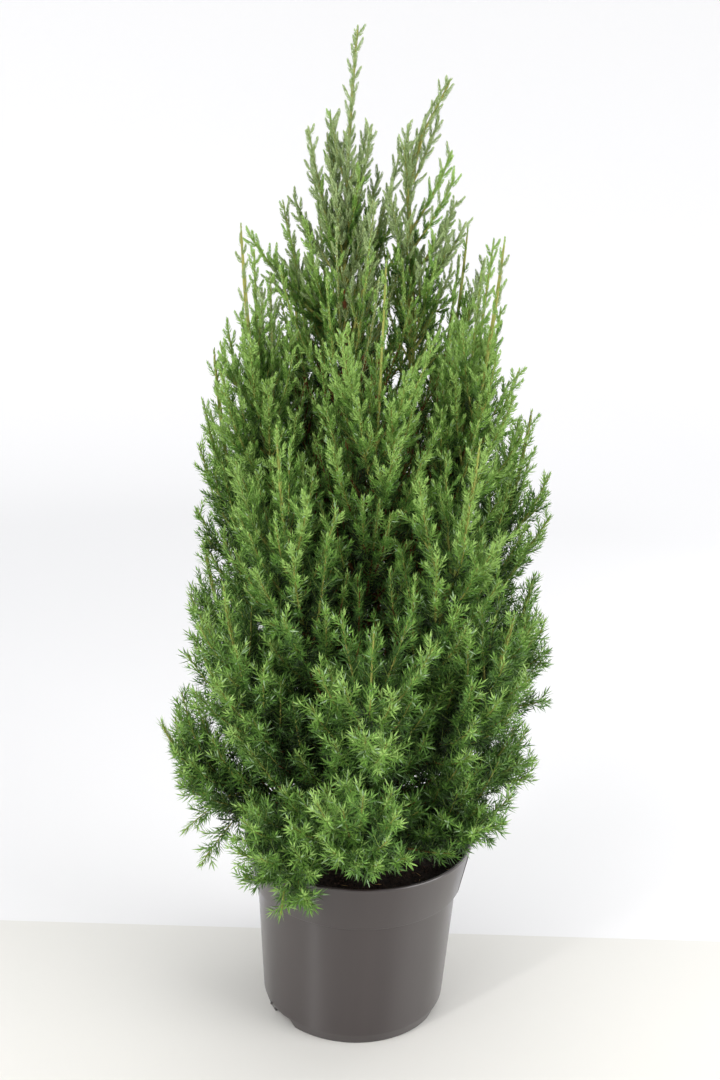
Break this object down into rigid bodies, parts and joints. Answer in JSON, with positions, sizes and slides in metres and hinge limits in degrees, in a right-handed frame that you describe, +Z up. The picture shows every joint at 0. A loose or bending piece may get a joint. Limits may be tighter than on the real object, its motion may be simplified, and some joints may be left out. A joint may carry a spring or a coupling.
{
  "type": "potted stricta chinese juniper",
  "caption": "Young conical juniper with a leaning trunk, a second leader and steep boughs in dense masses of short-needled sprays, in a round nursery pot.",
  "frame": {"origin": "the middle of the pot's flat underside", "axes": "+Z up along the plant's height, -Y the side that faces the camera in the picture, +X to its right"},
  "size_m": [0.3579, 0.3573, 0.9025],
  "materials": {
    "pot": "satin dark grey moulded plastic",
    "mix": "matt dark peat potting mix",
    "bark": "matt orange-brown bark",
    "foliage": "satin mid-green needles"
  },
  "bodies": {
    "root": {"pot": "pot", "potting_mix": "mix", "trunk": "bark", "bough_skirt_1": "bark", "foliage_skirt_1": "foliage", "bough_skirt_2": "bark", "foliage_skirt_2": "foliage", "bough_skirt_3": "bark", "foliage_skirt_3": "foliage", "bough_skirt_4": "bark", "foliage_skirt_4": "foliage", "bough_skirt_5": "bark", "foliage_skirt_5": "foliage", "bough_skirt_6": "bark", "foliage_skirt_6": "foliage", "bough_skirt_7": "bark", "foliage_skirt_7": "foliage", "bough_skirt_8": "bark", "foliage_skirt_8": "foliage", "bough_low_1": "bark", "foliage_low_1": "foliage", "bough_low_2": "bark", "foliage_low_2": "foliage", "bough_low_3": "bark", "foliage_low_3": "foliage", "bough_low_4": "bark", "foliage_low_4": "foliage", "bough_low_5": "bark", "foliage_low_5": "foliage", "bough_low_6": "bark", "foliage_low_6": "foliage", "bough_low_7": "bark", "foliage_low_7": "foliage", "bough_middle_1": "bark", "foliage_middle_1": "foliage", "bough_middle_2": "bark", "foliage_middle_2": "foliage", "bough_middle_3": "bark", "foliage_middle_3": "foliage", "bough_middle_4": "bark", "foliage_middle_4": "foliage", "bough_middle_5": "bark", "foliage_middle_5": "foliage", "bough_middle_6": "bark", "foliage_middle_6": "foliage", "bough_upper_1": "bark", "foliage_upper_1": "foliage", "bough_upper_2": "bark", "foliage_upper_2": "foliage", "bough_upper_3": "bark", "foliage_upper_3": "foliage", "bough_upper_4": "bark", "foliage_upper_4": "foliage", "bough_upper_5": "bark", "foliage_upper_5": "foliage", "bough_upper_6": "bark", "foliage_upper_6": "foliage", "bough_second_leader": "bark", "foliage_second_leader": "foliage", "foliage_leader": "foliage"}
  },
  "joints": []
}
